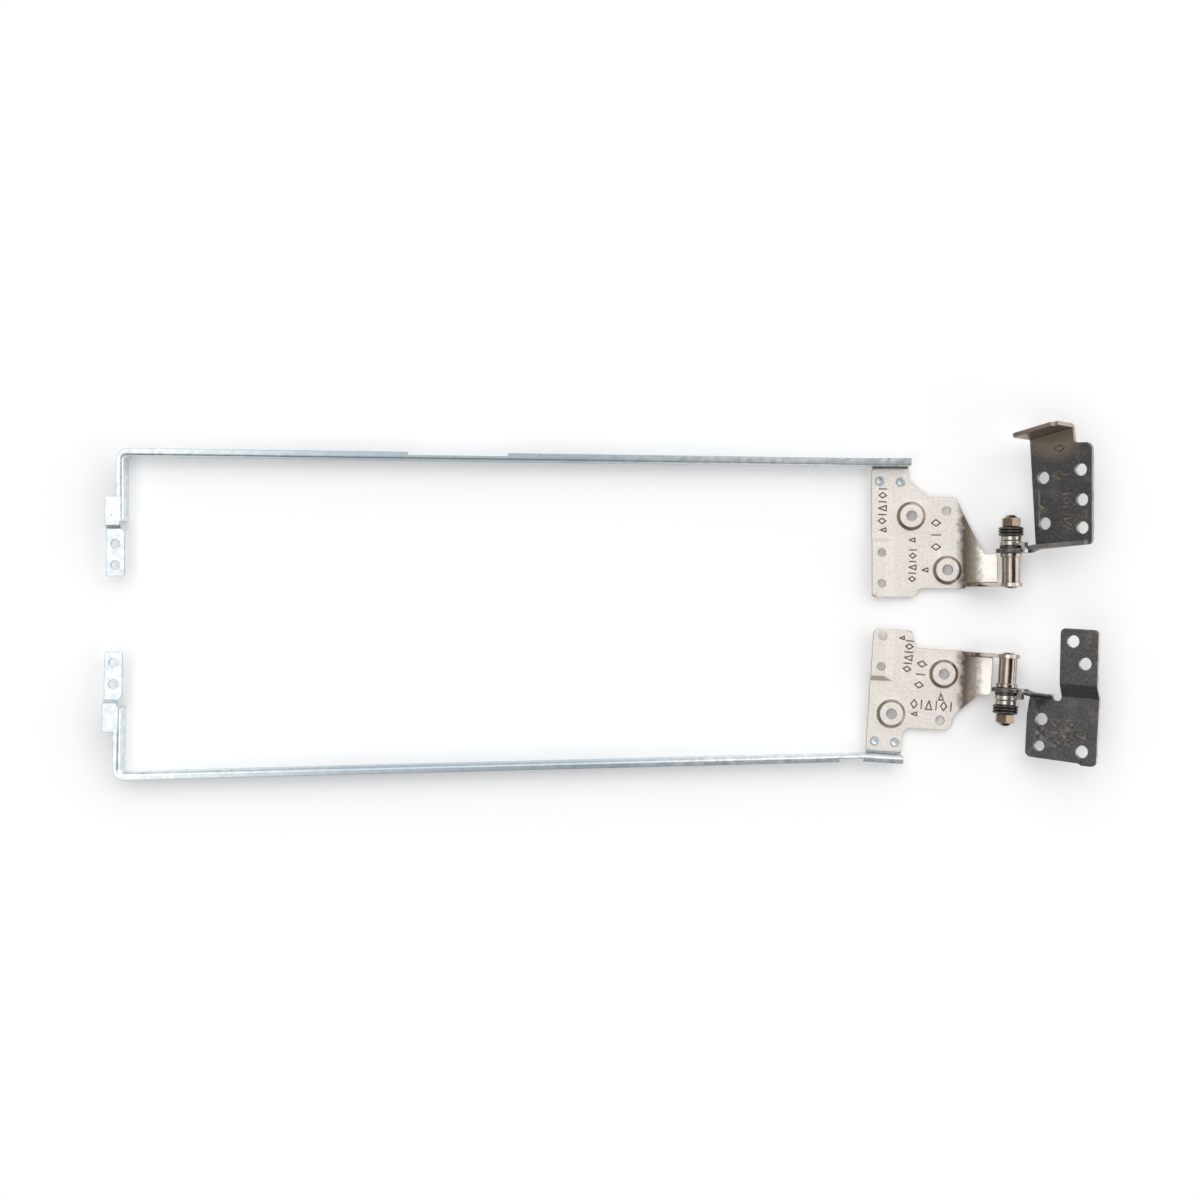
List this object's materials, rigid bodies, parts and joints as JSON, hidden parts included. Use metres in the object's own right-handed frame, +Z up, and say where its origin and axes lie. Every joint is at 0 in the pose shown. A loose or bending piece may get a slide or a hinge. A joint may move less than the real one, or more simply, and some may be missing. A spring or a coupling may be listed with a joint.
{
  "type": "laptop hinge pair",
  "caption": "Pair of friction hinges for a laptop lid: folded screen rails riveted to stamped hinge plates, washer stacks on shafts, and drilled base brackets.",
  "frame": {"origin": "on the table under the middle of the pair's bounding box", "axes": "+X along the rails towards the base brackets, +Y from the left hinge to the right one, +Z up"},
  "size_m": [0.2578, 0.0924, 0.019],
  "materials": {
    "zinc_plated_steel": "zinc plated, satin",
    "nickel_plated_steel": "nickel plated, satin",
    "polished_steel": "turned and polished",
    "black_nickel_steel": "black nickel plated, scratched",
    "black_spring_steel": "black oxide",
    "bright_steel": "bright, burnished",
    "nickel_plated_nut": "nickel plated, worn"
  },
  "bodies": {
    "screen_side": {"left_screen_rail": "zinc_plated_steel", "left_hinge_plate": "nickel_plated_steel", "left_shaft": "polished_steel", "left_thrust_washer": "bright_steel", "left_spring_washer_1": "black_spring_steel", "left_spring_washer_2": "black_spring_steel", "left_spring_washer_3": "black_spring_steel", "left_lock_nut": "nickel_plated_nut", "right_screen_rail": "zinc_plated_steel", "right_hinge_plate": "nickel_plated_steel", "right_shaft": "polished_steel", "right_thrust_washer": "bright_steel", "right_spring_washer_1": "black_spring_steel", "right_spring_washer_2": "black_spring_steel", "right_spring_washer_3": "black_spring_steel", "right_lock_nut": "nickel_plated_nut"},
    "left_base": {"left_base_bracket": "black_nickel_steel", "left_friction_washer": "black_spring_steel", "left_lug_washer": "bright_steel"},
    "right_base": {"right_base_bracket": "black_nickel_steel", "right_friction_washer": "black_spring_steel", "right_lug_washer": "bright_steel"}
  },
  "joints": [
    {"name": "right_hinge", "type": "hinge", "parent": "screen_side", "child": "right_base", "pos_m": [0.10761, 0.01351, 0.006], "axis": [0, -1, 0], "range_deg": [-14, 141]},
    {"name": "left_hinge", "type": "hinge", "parent": "screen_side", "child": "left_base", "pos_m": [0.10642, -0.02266, 0.006], "axis": [-0.0619, -0.9981, 0], "range_deg": [-7, 148]}
  ]
}
